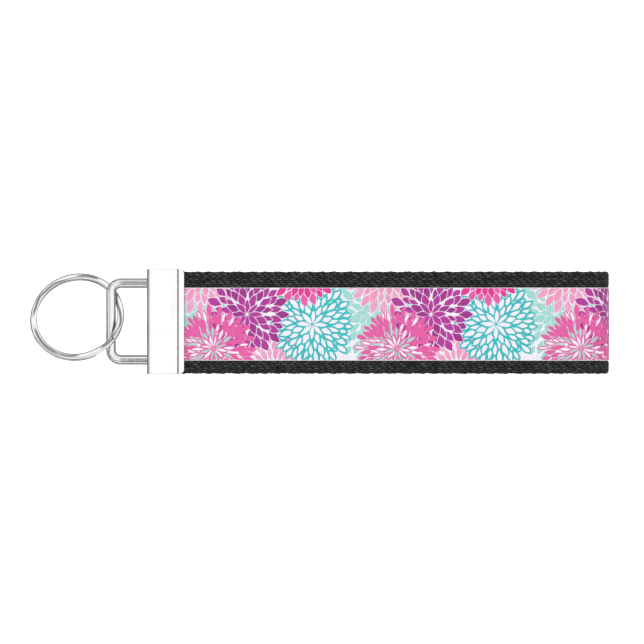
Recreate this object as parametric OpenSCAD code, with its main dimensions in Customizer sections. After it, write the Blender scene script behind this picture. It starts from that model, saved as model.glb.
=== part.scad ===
// Wristlet keychain: a webbing strap with a printed ribbon sewn round its outside, folded double
// and crimped in a sheet steel clamp, with a wire bail and a two-turn split ring for the keys.
//
// Frame: +X runs along the strap towards its fold, +Y across it, +Z up through the front layer.
// The origin is at the centre of the whole object's underside.

/* [Strap] */
// Length of the strap from the clamp's mouth to the tip of its fold
strap_len = 129.55; // [100:0.05:170]
// Width of the webbing
web_w = 31.2; // [26:0.2:31.8]
// Thickness of the webbing
web_t = 2; // [1.6:0.1:2.2]
// Width of the printed ribbon
rib_w = 22.2; // [14:0.2:24]
// Thickness of the printed ribbon
rib_t = 0.4; // [0.3:0.05:0.5]
// How far the ribbon lies off the webbing's centre line, towards -Y
rib_shift = 0.8; // [0:0.1:1.2]
// Outer radius of the fold, which is also the height of the strap's middle plane
fold_r = 8; // [8:0.5:12]

/* [Stitching] */
// Length of one stitch
stitch_len = 2.5; // [1.5:0.1:2.9]
// Distance from one stitch to the next
stitch_pitch = 3.2; // [3:0.1:5]
// Width of the sewing thread
thread_w = 0.4; // [0.3:0.05:0.6]
// Depth of the channel that the thread pulls into the ribbon
thread_t = 0.2; // [0.1:0.02:0.24]
// Distance from the ribbon's edge to the row of stitches
stitch_inset = 0.9; // [0.6:0.1:2]

/* [Clamp] */
// Width of the clamp, across the strap
clamp_w = 32; // [32:0.5:36]
// Length of the clamp, from its spine to its mouth
clamp_len = 11.5; // [10:0.1:14]
// Thickness of the sheet steel
plate_t = 0.9; // [0.7:0.05:1.1]
// Outside radius of the bends along the spine
spine_r = 1.4; // [1.2:0.1:1.6]
// Length of the lip at the mouth
lip_len = 2; // [1.4:0.1:2.4]
// How far the lip is set in from the flat plate
lip_step = 0.45; // [0.3:0.05:0.5]
// Height of the teeth inside the lip
tooth_h = 0.3; // [0.1:0.05:0.3]

/* [Bail] */
// Diameter of the bail's wire
wire_d = 3; // [2.4:0.1:3]
// Distance between the middles of the bail's two legs
leg_gap = 23.4; // [20:0.2:24]
// Distance from the clamp's spine to the middle of the crossbar
bail_reach = 11; // [9:0.1:14]
// Bend radius at the bail's corners, to the middle of the wire
bail_bend = 3; // [2.5:0.1:4]

/* [Split ring] */
// Outside diameter of the split ring
ring_od = 28.8; // [28.2:0.1:28.8]
// Inside diameter of the split ring
ring_id = 24.8; // [24.6:0.1:25]
// Thickness of one turn of its flattened wire
coil_t = 0.85; // [0.7:0.05:0.85]
// Roll of the ring about the strap's direction, its -Y side up
ring_roll = 23.6; // [22.8:0.1:23.6]
// Pitch of the ring about the crossbar, its clamp side up
ring_pitch = 7.2; // [5:0.1:7.2]
// Distance from the crossbar to the ring's middle
ring_hang = 10.4; // [10.2:0.01:10.5]
// Distance of the ring's middle from the strap's centre line
ring_y = 1.37; // [0:0.01:1.5]

/* [Hidden] */
$fn = 96;
tiny = 0.01;

// One layer of the strap is webbing with the ribbon on its outer face.
layer_t = web_t + rib_t;
// The end of a link is round about its hinge, and its neighbour stops this far short of the hinge.
hinge_gap = layer_t / 2 + 0.1;
// Space left between the front and the back layer beside the clamp
layer_gap = 0.7;
// Space left between the two strap ends inside the clamp
end_gap = 0.05;
// Length over which the lip squeezes the strap's ends thinner
squeeze_len = 1.2;

// Clamp, measured from the middle plane
clamp_half = layer_t + plate_t;
cavity_half = layer_t;
lip_half = clamp_half - lip_step;
lip_corner_r = 1.5;
lip_overlap = 0.5;
tooth_pitch = 2.6;
tooth_w = 1.3;
tooth_base = 0.8;

// Bail
wire_r = wire_d / 2;
hole_r = wire_r + 0.05;
head_r = min(wire_r + 0.6, cavity_half - 0.1);
head_len = 0.8;

// Split ring
ring_r = ring_od / 2;
band_w = (ring_od - ring_id) / 2;
ring_edge_r = 0.3;
split_groove = 0.22;
end_slot = 0.35;
front_end_angle = -32;
back_end_angle = -58;

// Places along X, with the whole length centred on the origin
ring_tilt_x = cos(ring_roll) * sin(ring_pitch);
ring_half_x = ring_r * sqrt(1 - ring_tilt_x * ring_tilt_x) + coil_t * ring_tilt_x;
hang_x = ring_hang * cos(ring_pitch);
total_len = ring_half_x + hang_x + bail_reach + clamp_len + strap_len;
bar_x = ring_half_x + hang_x - total_len / 2;
spine_x = bar_x + bail_reach;
mouth_x = spine_x + clamp_len;
fold_x = total_len / 2 - fold_r;
mid_z = fold_r;

// Hinges of the strap: at the mouth, half way along, and where the fold starts.
// Heights are measured from the middle plane, outwards.
mouth_hinge_x = mouth_x + hinge_gap;
mouth_hinge_h = (layer_t + layer_gap) / 2;
fold_hinge_h = fold_r - layer_t / 2;
link_rise = (fold_hinge_h - mouth_hinge_h) / 2;
link_run = (fold_x - mouth_hinge_x) / 2;
link_len = norm([link_run, link_rise]);
link_slope = atan2(link_rise, link_run);

rib_y = -rib_shift;
stitch_rows = [rib_y - rib_w / 2 + stitch_inset, rib_y + rib_w / 2 - stitch_inset];

// ---------------------------------------------------------------- helpers

// Extrudes an outline drawn in the XZ plane along Y.
module along_y(width, y = 0) {
    translate([0, y, 0])
        rotate([90, 0, 0])
            linear_extrude(width, center = true) children();
}

// Draws its children on the front side of the middle plane, or mirrored to the back side.
module on_side(back) {
    translate([0, 0, mid_z])
        mirror([0, 0, back ? 1 : 0]) children();
}

// Draws its children on both sides of the middle plane.
module on_both_sides() {
    on_side(false) children();
    on_side(true) children();
}

// Rectangle with all four corners rounded
module rounded_box(low, high, r) {
    translate([low[0] + r, low[1]])
        square([high[0] - low[0] - 2 * r, high[1] - low[1]]);
    translate([low[0], low[1] + r])
        square([high[0] - low[0], high[1] - low[1] - 2 * r]);
    for (x = [low[0] + r, high[0] - r], y = [low[1] + r, high[1] - r])
        translate([x, y]) circle(r);
}

// Places for a row of stitches between two limits, spread evenly
function stitch_count(span) = max(1, floor(span / stitch_pitch));
function stitch_places(from, to) =
    let (n = stitch_count(to - from), step = (to - from) / n)
    [for (i = [0 : n - 1]) from + (i + 0.5) * step];

// ---------------------------------------------------------------- clamp, bail and ring

// Folded sheet, seen along Y: the spine with its two bends, two plates and two set-in lips
module clamp_outline() {
    plate_end = clamp_len - lip_len + lip_overlap;
    difference() {
        union() {
            rounded_box([0, -clamp_half], [2 * clamp_half, clamp_half], spine_r);
            translate([clamp_half, -clamp_half])
                square([plate_end - clamp_half, 2 * clamp_half]);
            for (side = [-1, 1]) {
                lip_mid = side * (lip_half - plate_t / 2);
                translate([plate_end - lip_overlap, lip_mid - plate_t / 2])
                    square([lip_len - plate_t / 2, plate_t]);
                translate([clamp_len - plate_t / 2, lip_mid]) circle(plate_t / 2);
            }
        }
        rounded_box([plate_t, -cavity_half], [2 * cavity_half, cavity_half], spine_r - plate_t);
        translate([cavity_half, -cavity_half])
            square([plate_end - lip_overlap - cavity_half, 2 * cavity_half]);
        translate([cavity_half, plate_t - lip_half])
            square([clamp_len, 2 * (lip_half - plate_t)]);
    }
}

// One row of teeth that bite into the ribbon, along one lip
module teeth() {
    tooth_x = clamp_len - lip_len / 2;
    count = floor(rib_w / tooth_pitch);
    for (i = [0 : count - 1])
        along_y(tooth_w, rib_y + (i - (count - 1) / 2) * tooth_pitch)
            polygon([
                [tooth_x - tooth_base / 2, lip_half - plate_t + tiny],
                [tooth_x + tooth_base / 2, lip_half - plate_t + tiny],
                [tooth_x, lip_half - plate_t - tooth_h]
            ]);
}

module clamp_body() {
    color("silver")
        translate([spine_x, 0, 0]) {
            difference() {
                intersection() {
                    translate([0, 0, mid_z]) along_y(clamp_w) clamp_outline();
                    translate([0, 0, mid_z - clamp_half])
                        linear_extrude(2 * clamp_half) {
                            rounded_box([clamp_len - 4 * lip_corner_r, -clamp_w / 2],
                                        [clamp_len, clamp_w / 2], lip_corner_r);
                            translate([0, -clamp_w / 2])
                                square([clamp_len - 2 * lip_corner_r, clamp_w]);
                        }
                }
                for (side = [-1, 1])
                    translate([-plate_t, side * leg_gap / 2, mid_z])
                        rotate([0, 90, 0]) cylinder(h = 3 * plate_t, r = hole_r);
            }
            on_both_sides() teeth();
        }
}

// One leg of the bail, with its bent corner and the head upset inside the clamp
module bail_leg() {
    leg_start = bar_x + bail_bend;
    leg_end = spine_x + plate_t;
    translate([leg_start, leg_gap / 2, 0])
        rotate([0, 90, 0]) cylinder(h = leg_end + head_len - leg_start, r = wire_r);
    translate([leg_end, leg_gap / 2, 0])
        rotate([0, 90, 0]) cylinder(h = head_len, r = head_r);
    translate([leg_start, leg_gap / 2 - bail_bend, 0])
        rotate_extrude(angle = 90, start = 90)
            translate([bail_bend, 0]) circle(wire_r);
}

module bail() {
    bar_len = leg_gap - 2 * bail_bend;
    color("gainsboro")
        translate([0, 0, mid_z]) {
            bail_leg();
            mirror([0, 1, 0]) bail_leg();
            translate([bar_x, bar_len / 2, 0])
                rotate([90, 0, 0]) cylinder(h = bar_len, r = wire_r);
        }
}

// Cut across one turn of the ring where its wire ends
module wire_end_cut(angle, low) {
    rotate([0, 0, angle])
        translate([ring_id / 2 - 1, -end_slot / 2, low])
            cube([band_w + 2, end_slot, coil_t + 1]);
}

module split_ring() {
    groove = split_groove * sqrt(2);
    color("whitesmoke")
        translate([bar_x, 0, mid_z])
            rotate([0, -ring_pitch, 0])
                translate([-ring_hang, ring_y, 0])
                    rotate([-ring_roll, 0, 0])
                        difference() {
                            rotate_extrude()
                                difference() {
                                    rounded_box([ring_id / 2, -coil_t], [ring_r, coil_t], ring_edge_r);
                                    for (r = [ring_id / 2, ring_r])
                                        translate([r, 0]) rotate(45) square(groove, center = true);
                                }
                            wire_end_cut(front_end_angle, 0);
                            wire_end_cut(back_end_angle, -coil_t - 1);
                        }
}

// ---------------------------------------------------------------- strap

// A band of the strap's end inside the clamp, between two heights above the middle plane.
// The lip squeezes the end, so the band slopes down to it, as far as its inner face allows.
module end_band(low, high) {
    start = plate_t + head_len + 0.3;
    lip_x = clamp_len - lip_len;
    lip_low = max(end_gap / 2, low - lip_step);
    lip_high = high - lip_step;
    polygon([
        [start, low], [lip_x - squeeze_len, low], [lip_x, lip_low], [clamp_len, lip_low],
        [clamp_len, lip_high], [lip_x, lip_high], [lip_x - squeeze_len, high], [start, high]
    ]);
}

module webbing_ends() {
    color("#2b2b2e")
        on_both_sides()
            translate([spine_x, 0, 0]) along_y(web_w) end_band(end_gap / 2, web_t);
}

module ribbon_ends() {
    color("hotpink")
        on_both_sides()
            translate([spine_x, 0, 0]) along_y(rib_w, rib_y) end_band(web_t, layer_t);
}

// Outline of one strap link seen along Y, between two heights above its middle:
// round about its first hinge and flat just short of the next one
module link_band(low, high) {
    intersection() {
        union() {
            circle(layer_t / 2);
            translate([0, -layer_t / 2]) square([link_len - hinge_gap, layer_t]);
        }
        translate([-layer_t, low]) square([link_len + layer_t, high - low]);
    }
}

// Outline of the fold seen along Y, between two radii, with its two round hinge ends
module fold_band(inner, outer) {
    intersection() {
        difference() {
            circle(outer);
            circle(inner);
        }
        translate([0, -fold_r]) square([fold_r, 2 * fold_r]);
    }
    for (side = [0, 1])
        mirror([0, side])
            intersection() {
                translate([0, fold_hinge_h]) circle(layer_t / 2);
                translate([-layer_t, inner]) square([layer_t + tiny, outer - inner]);
            }
}

// Puts a link between the mouth and the middle hinge, or between the middle hinge and the fold.
module near_link(back) {
    on_side(back)
        translate([mouth_hinge_x, 0, mouth_hinge_h])
            rotate([0, -link_slope, 0]) children();
}

module far_link(back) {
    on_side(back)
        translate([mouth_hinge_x + link_run, 0, mouth_hinge_h + link_rise])
            rotate([0, -link_slope, 0]) children();
}

module at_fold() {
    translate([fold_x, 0, mid_z]) children();
}

module webbing_link() {
    color("#2b2b2e")
        along_y(web_w) link_band(-layer_t / 2, layer_t / 2 - rib_t);
}

// The printed ribbon, with a channel pulled in by each row of stitches
module ribbon_link() {
    color("hotpink")
        difference() {
            along_y(rib_w, rib_y) link_band(layer_t / 2 - rib_t, layer_t / 2);
            for (y = stitch_rows)
                translate([-layer_t, y - thread_w / 2, layer_t / 2 - thread_t])
                    cube([link_len + 2 * layer_t, thread_w, layer_t]);
        }
}

module stitching_link() {
    color("white")
        for (y = stitch_rows, x = stitch_places(0, link_len - hinge_gap))
            translate([x - stitch_len / 2, y - thread_w / 2, layer_t / 2 - thread_t])
                cube([stitch_len, thread_w, thread_t]);
}

module webbing_fold() {
    color("#2b2b2e")
        at_fold() along_y(web_w) fold_band(fold_r - layer_t, fold_r - rib_t);
}

module ribbon_fold() {
    color("hotpink")
        at_fold()
            difference() {
                along_y(rib_w, rib_y) fold_band(fold_r - rib_t, fold_r);
                for (y = stitch_rows)
                    along_y(thread_w, y)
                        difference() {
                            translate([-layer_t, -fold_r - tiny])
                                square([fold_r + 2 * layer_t, 2 * (fold_r + tiny)]);
                            circle(fold_r - thread_t);
                            translate([-layer_t, -fold_r + thread_t])
                                square([layer_t, 2 * (fold_r - thread_t)]);
                        }
            }
}

module stitching_fold() {
    turn = stitch_len / fold_r * 180 / PI;
    arc_len = fold_r * PI;
    color("white")
        at_fold()
            rotate([90, 0, 0])
                for (y = stitch_rows, s = stitch_places(0, arc_len))
                    rotate_extrude(angle = turn, start = s / fold_r * 180 / PI - 90 - turn / 2)
                        translate([fold_r - thread_t, -y - thread_w / 2])
                            square([thread_t, thread_w]);
}

clamp_body();
bail();
split_ring();
webbing_ends();
ribbon_ends();
near_link(false) webbing_link();  // webbing_front_near
near_link(false) ribbon_link();  // ribbon_front_near
near_link(false) stitching_link();  // stitching_front_near
far_link(false) webbing_link();  // webbing_front_far
far_link(false) ribbon_link();  // ribbon_front_far
far_link(false) stitching_link();  // stitching_front_far
webbing_fold();
ribbon_fold();
stitching_fold();
far_link(true) webbing_link();  // webbing_back_far
far_link(true) ribbon_link();  // ribbon_back_far
far_link(true) stitching_link();  // stitching_back_far
near_link(true) webbing_link();  // webbing_back_near
near_link(true) ribbon_link();  // ribbon_back_near
near_link(true) stitching_link();  // stitching_back_near
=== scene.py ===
"""A wristlet keychain: a webbing strap with a printed ribbon sewn round its outside, folded double
and crimped in a sheet steel clamp, with a wire bail and a two-turn split ring.

The strap is built in its own measure, in millimetres: s runs along its outer face from inside the
clamp, out along the front layer, round the fold and back along the back layer, v runs across it,
and depth runs inwards from the ribbon's outer face. place() turns these into the frame's metres.
"""

import math

import bpy
import numpy as np
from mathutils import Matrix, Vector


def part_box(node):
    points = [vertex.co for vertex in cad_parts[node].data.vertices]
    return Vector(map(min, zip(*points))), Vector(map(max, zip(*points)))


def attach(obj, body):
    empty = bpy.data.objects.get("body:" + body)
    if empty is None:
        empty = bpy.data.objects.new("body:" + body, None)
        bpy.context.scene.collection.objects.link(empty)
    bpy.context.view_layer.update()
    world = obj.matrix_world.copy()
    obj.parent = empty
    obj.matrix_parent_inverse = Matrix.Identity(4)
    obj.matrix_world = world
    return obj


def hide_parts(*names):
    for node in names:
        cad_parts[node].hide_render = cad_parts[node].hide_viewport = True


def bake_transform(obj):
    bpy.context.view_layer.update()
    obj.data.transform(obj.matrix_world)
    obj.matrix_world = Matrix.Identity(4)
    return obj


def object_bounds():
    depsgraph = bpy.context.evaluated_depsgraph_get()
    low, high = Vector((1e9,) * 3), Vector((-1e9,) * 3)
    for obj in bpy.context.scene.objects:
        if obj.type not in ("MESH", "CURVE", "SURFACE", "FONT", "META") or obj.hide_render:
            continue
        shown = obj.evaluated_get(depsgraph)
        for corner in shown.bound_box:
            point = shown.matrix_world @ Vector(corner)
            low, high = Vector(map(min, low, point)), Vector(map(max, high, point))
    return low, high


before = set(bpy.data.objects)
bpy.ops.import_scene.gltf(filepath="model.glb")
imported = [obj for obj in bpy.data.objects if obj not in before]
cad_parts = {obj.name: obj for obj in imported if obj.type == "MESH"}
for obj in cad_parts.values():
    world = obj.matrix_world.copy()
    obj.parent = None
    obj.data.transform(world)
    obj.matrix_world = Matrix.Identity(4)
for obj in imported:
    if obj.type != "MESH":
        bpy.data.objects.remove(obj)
cad_low, cad_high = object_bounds()

MM = 0.001
clamp_low, clamp_high = (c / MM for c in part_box("clamp_body"))
bail_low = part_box("bail")[0] / MM

# ---------------------------------------------------------------- measures, in millimetres

MID_Z = (clamp_low.z + clamp_high.z) / 2
MOUTH_X = clamp_high.x
SPINE_X = clamp_low.x
MOUTH_HINGE_X = MOUTH_X + 1.3
FOLD_X = (cad_high.x / MM) - MID_Z
FOLD_R = MID_Z
MIDDLE_X = (MOUTH_HINGE_X + FOLD_X) / 2

WIRE_R = 1.5  # the bail's wire
WEB_LOW, WEB_HIGH = -15.8, 15.1  # the webbing's edges, across the strap
LAYER_T = 2.4  # webbing and ribbon together
WEB_EDGE_R, RIB_EDGE_R = 0.9, 0.12
RIB_T = 0.4
RIB_SINK = 0.05  # how far the ribbon's underside is let into the webbing
RIB_LOW, RIB_HIGH = -11.9, 10.3  # the ribbon's edges
ROW_PITCH = 0.7  # from one row of the webbing's yarns to the next
FLOAT_LEN = 2.1  # how long a yarn shows along its row
STAGGER = 0.4  # how far on the next row's yarns lie, as a share of that length
YARN_H, YARN_SINK = 0.3, 0.19
EDGE_SWELL = 0.36  # how far the bare webbing stands up beside the ribbon
SCALLOP_PITCH, SCALLOP, SCALLOP_RAG = 4.3, 0.09, 0.05
RIB_PITCH, RIB_H = 0.6, 0.045  # the ribbon's own fine ribs
PICOT_PITCH, PICOT = 0.7, 0.09  # the small loops of its edges
STITCH_LEN, STITCH_PITCH, STITCH_INSET = 2.5, 3.2, 0.9
STITCH_ROWS = (RIB_LOW + STITCH_INSET, RIB_HIGH - STITCH_INSET)
THREAD_HALF_W, THREAD_HALF_T, THREAD_DIP = 0.17, 0.13, 0.16

# The rows of yarns wander across the strap in a slow and a quick wave: swing and rate of each
SLOW_SWING, SLOW_RATE, SLOW_BEND, SLOW_BEND_RATE = 0.16, 0.53, 0.9, 0.11
QUICK_SWING, QUICK_RATE, QUICK_SHIFT = 0.1, 1.31, 2.0
ROW_SHIFT, ROW_SHIFT_RATE = 0.12, 1.7  # and each row's yarns are shifted along it a little

# ---------------------------------------------------------------- the strap's path

# The outer face's height above the middle plane: pinched by the lips, inside the clamp, and just
# outside its mouth
LIP_HALF, CAVITY_HALF, NEAR_HALF = 1.93, 2.38, 2.75
PINCHED_T, INSIDE_T = 1.9, 2.34  # the layer's thickness at the lips and inside the clamp
# From the mouth: two places inside the clamp, the lips' inner and outer edges, and just outside
PINCH_KNOTS = (-9.4, -3.2, -1.9, 0.0, 2.0)
FOLD_EASE = 20.0  # how long the slope takes to level out before the fold
PATH_STEP = 0.02
PATH_BLUR = 18


def smoothed(values, spread):
    """Values on an even grid, blurred by a bell of that many samples."""
    reach = int(3 * spread)
    bell = np.exp(-0.5 * (np.arange(-reach, reach + 1) / spread) ** 2)
    padded = np.pad(values, reach, mode="reflect", reflect_type="odd")
    return np.convolve(padded, bell / bell.sum(), mode="valid")


def front_half(xs):
    """Height of the front layer's outer face above the middle plane, and the layer's thickness."""
    knots = MOUTH_X + np.array(PINCH_KNOTS)
    slope = (FOLD_R - NEAR_HALF) / (FOLD_X - FOLD_EASE / 2 - knots[-1])
    end = FOLD_X - FOLD_EASE
    high = np.interp(xs, knots, [CAVITY_HALF, CAVITY_HALF, LIP_HALF, LIP_HALF, NEAR_HALF])
    thick = np.interp(xs, knots, [INSIDE_T, INSIDE_T, PINCHED_T, PINCHED_T, LAYER_T])
    high = np.where(xs > knots[-1], NEAR_HALF + slope * (xs - knots[-1]), high)
    ease = FOLD_R - slope * (FOLD_X - xs) ** 2 / (2 * FOLD_EASE)
    return np.where(xs > end, ease, high), thick


def strap_path():
    """Even samples of the strap's outer face: s, x, z, the inward normal's x and z, thickness."""
    xs = np.arange(SPINE_X + 2.0, FOLD_X, PATH_STEP)
    high, thick = (smoothed(values, PATH_BLUR) for values in front_half(xs))
    turn = np.linspace(0, math.pi, 1400)[1:-1]
    x = np.concatenate([xs, FOLD_X + FOLD_R * np.sin(turn), xs[::-1]])
    z = np.concatenate([high, FOLD_R * np.cos(turn), -high[::-1]]) + MID_Z
    t = np.concatenate([thick, np.full(len(turn), LAYER_T), thick[::-1]])
    s = np.concatenate([[0], np.cumsum(np.hypot(np.diff(x), np.diff(z)))])
    even = np.arange(0, s[-1], PATH_STEP)
    x, z, t = (np.interp(even, s, a) for a in (x, z, t))
    tx, tz = np.gradient(x), np.gradient(z)
    length = np.hypot(tx, tz)
    return even, x, z, tz / length, -tx / length, t


PATH = strap_path()
S_END = PATH[0][-1]
S_TIP = S_END / 2


def place(s, v, depth):
    """Points of the strap in metres."""
    at = [np.interp(s, PATH[0], a) for a in PATH[1:]]
    inwards = depth * at[4] / LAYER_T
    return np.stack([at[0] + at[2] * inwards, v + 0 * s, at[1] + at[3] * inwards], -1) * MM


def front_s(x):
    """s where the front layer passes x."""
    half = len(PATH[0]) // 2
    return float(np.interp(x, PATH[1][:half], PATH[0][:half]))


def back_s(x):
    """s where the back layer passes x."""
    return S_END - front_s(x)


S_MOUTH = front_s(MOUTH_X)

# ---------------------------------------------------------------- mesh helpers


def new_piece(name, points, faces, corners=None, smooth=None):
    """A mesh object from points in metres.

    corners gives each face corner's place on the UV map strap, and smooth each face's shading.
    """
    mesh = bpy.data.meshes.new(name)
    mesh.from_pydata(points, [], faces)
    if corners is not None:
        uv_map = mesh.uv_layers.new(name="strap")
        uv_map.data.foreach_set("uv", np.asarray(corners, float).ravel())
    mesh.polygons.foreach_set("use_smooth", [True] * len(faces) if smooth is None else smooth)
    mesh.update()
    piece = bpy.data.objects.new(name, mesh)
    bpy.context.scene.collection.objects.link(piece)
    return piece


def tube_faces(rings, sides, start=0):
    """Quads of a closed tube of that many rings, each of that many points, and its two end caps."""
    i, j = np.meshgrid(np.arange(rings - 1), np.arange(sides), indexing="ij")
    i, j = i.ravel(), j.ravel()
    k = (j + 1) % sides
    quads = np.stack([i * sides + j, i * sides + k, (i + 1) * sides + k, (i + 1) * sides + j], -1)
    caps = [list(range(sides))[::-1], list(range((rings - 1) * sides, rings * sides))]
    return (quads + start).tolist() + [[c + start for c in cap] for cap in caps]


def flat_ends(faces):
    """Smooth shading for all of tube_faces() but the two end caps."""
    return [True] * (len(faces) - 2) + [False] * 2


def tube_corners(along, around):
    """Each corner's along and around for tube_faces(); around has one value more than the sides."""
    sides = len(around) - 1
    i, j = np.meshgrid(np.arange(len(along) - 1), np.arange(sides), indexing="ij")
    i, j = i.ravel(), j.ravel()
    u = np.stack([along[i], along[i], along[i + 1], along[i + 1]], -1)
    w = np.stack([around[j], around[j + 1], around[j + 1], around[j]], -1)
    quads = np.stack([u, w], -1).reshape(-1, 2)
    caps = [(along[0], a) for a in around[:-1]][::-1] + [(along[-1], a) for a in around[:-1]]
    return np.concatenate([quads, caps])


# ---------------------------------------------------------------- the strap's cross-sections


def rounded_section(low, high, top, bottom, radius, step):
    """Points round a flat band with rounded edges, about step apart, outer face first: v, depth."""
    points = []
    for corner_v, corner_d, first in (
        (high - radius, top + radius, 0),
        (high - radius, bottom - radius, 1),
        (low + radius, bottom - radius, 2),
        (low + radius, top + radius, 3),
    ):
        for a in np.linspace(0, math.pi / 2, max(3, int(radius * math.pi / 2 / step) + 1)):
            turn = a + first * math.pi / 2
            points.append((corner_v + radius * math.sin(turn), corner_d - radius * math.cos(turn)))
    points = points[-1:] + points
    loop = []
    for (v0, d0), (v1, d1) in zip(points[:-1], points[1:]):
        count = max(1, int(round(math.hypot(v1 - v0, d1 - d0) / step)))
        loop += [(v0 + (v1 - v0) * k / count, d0 + (d1 - d0) * k / count) for k in range(count)]
    return np.array(loop)


def with_girth(loop):
    """v, depth, outward normal's v and depth, and girth, which is v along the outer face."""
    v, d = loop[:, 0], loop[:, 1]
    tv, td = np.roll(v, -1) - np.roll(v, 1), np.roll(d, -1) - np.roll(d, 1)
    length = np.hypot(tv, td)
    girth = np.concatenate([[0], np.cumsum(np.hypot(np.diff(v), np.diff(d)))]) + v[0]
    whole = girth[-1] + math.hypot(v[0] - v[-1], d[0] - d[-1])
    return v, d, td / length, -tv / length, np.append(girth, whole)


def webbing_section():
    """The webbing's section, with fewer points under the ribbon and inside the loop."""
    loop = rounded_section(WEB_LOW, WEB_HIGH, RIB_T, LAYER_T, WEB_EDGE_R, ROW_PITCH / 6)
    v, d = loop[:, 0], loop[:, 1]
    number = np.arange(len(loop))
    hidden = (d < RIB_T + 0.01) & (v > RIB_LOW + 0.5) & (v < RIB_HIGH - 0.5)
    inner = (d > LAYER_T - 0.01) & (np.minimum(v - WEB_LOW, WEB_HIGH - v) > 1)
    return with_girth(loop[(~hidden | (number % 8 == 0)) & (~inner | (number % 2 == 0))])


def ribbon_section():
    """The ribbon's section, with all its points only by its edges and along the stitches."""
    loop = rounded_section(RIB_LOW, RIB_HIGH, 0, RIB_T + RIB_SINK, RIB_EDGE_R, 0.12)
    v, d = loop[:, 0], loop[:, 1]
    number = np.arange(len(loop))
    near = (np.min([abs(v - row) for row in STITCH_ROWS], axis=0) < 0.7) & (d < 0.1)
    near |= np.minimum(v - RIB_LOW, RIB_HIGH - v) < 0.3
    return with_girth(loop[near | (number % 6 == 0)])


def weave(s, girth):
    """Height of the lens-shaped yarns that lie along the webbing, staggered row by row."""
    drift = SLOW_SWING * np.sin(SLOW_RATE * s + SLOW_BEND * np.sin(SLOW_BEND_RATE * s))
    drift = drift + QUICK_SWING * np.sin(QUICK_RATE * s + QUICK_SHIFT)
    row = np.floor(girth / ROW_PITCH + drift)
    off = 2 * (girth / ROW_PITCH + drift - row - 0.5)
    along = s / FLOAT_LEN + STAGGER * row + ROW_SHIFT * np.sin(ROW_SHIFT_RATE * row)
    swell = np.sin(math.pi * (along - np.floor(along)))
    width = np.maximum(swell, 0.02) ** 0.5
    rounded = np.clip(1 - (off / width) ** 2, 0, 1)
    return YARN_H * rounded * (0.25 + 0.75 * swell) - YARN_SINK


def webbing_shape(s, v, d, nv, nd, girth):
    """The bare edges swell up beside the ribbon, and the selvedges are gathered by the weft."""
    in_ribbon = np.minimum(v - RIB_LOW, RIB_HIGH - v)
    in_webbing = np.minimum(v - WEB_LOW, WEB_HIGH - v)
    outer = np.clip(1.6 - d, 0, 1)
    covered = np.clip(in_ribbon / 0.4 + 0.5, 0, 1) * (d < RIB_T + 0.3)
    bare = np.clip(-in_ribbon / 0.8, 0, 1)
    rise = weave(s, girth) * (1 - covered) + EDGE_SWELL * bare * (2 - bare) * outer
    edge = np.clip(1 - in_webbing / 1.2, 0, 1)
    phase = 2 * math.pi * s / SCALLOP_PITCH + 0.8 * np.sin(0.37 * s)
    scallop = SCALLOP * np.cos(phase) + SCALLOP_RAG * np.cos(3.3 * phase) - 0.02
    return v + nv * rise * 0.8 + np.sign(v) * edge * scallop, d + nd * rise


def ribbon_shape(s, v, d, nv, nd, girth):
    """The ribbon's fine ribs and looped edges, puffed up a little but pulled in by the stitches."""
    outer = np.clip(1 - d / 0.1, 0, 1)
    in_ribbon = np.minimum(v - RIB_LOW, RIB_HIGH - v)
    rib = RIB_H * abs(np.sin(math.pi * s / RIB_PITCH)) - 0.03
    from_middle = abs((s / STITCH_PITCH) % 1 - 0.5) * STITCH_PITCH
    hole = np.exp(-(((from_middle - STITCH_LEN / 2) / 0.3) ** 2))
    by_row = sum(np.exp(-(((v - row) / 0.3) ** 2)) for row in STITCH_ROWS)
    pull = by_row * (0.06 + 0.1 * hole)
    puff = 0.05 * np.clip(in_ribbon / 1.5, 0, 1)
    edge = np.clip(1 - in_ribbon / 0.25, 0, 1)
    picot = PICOT * (abs(np.sin(math.pi * s / PICOT_PITCH)) - 0.4)
    return v + np.sign(v) * edge * picot, d - outer * (rib + puff - pull)


def band(name, section, shape, s0, s1, step, round_end=0):
    """A closed length of webbing or ribbon. round_end 1 rounds its end at s1, and -1 that at s0."""
    v, d, nv, nd, girth = section
    s = np.linspace(s0, s1, max(2, int(round((s1 - s0) / step))) + 1)
    grid_s = np.repeat(s[:, None], len(v), 1)
    sv, sd = shape(grid_s, v[None], d[None], nv[None], nd[None], girth[None, :-1])
    if round_end:
        end = s1 if round_end > 0 else s0
        reach = np.clip(abs(grid_s - end), 0, LAYER_T / 2)
        keep = np.sqrt(np.clip(1 - (1 - reach * 2 / LAYER_T) ** 2, 0.02, 1))
        sd = LAYER_T / 2 + (sd - LAYER_T / 2) * keep
    points = place(grid_s, sv, sd).reshape(-1, 3)
    faces = tube_faces(len(s), len(v))
    return new_piece(name, points, faces, tube_corners(s - S_MOUTH, girth), flat_ends(faces))


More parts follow.
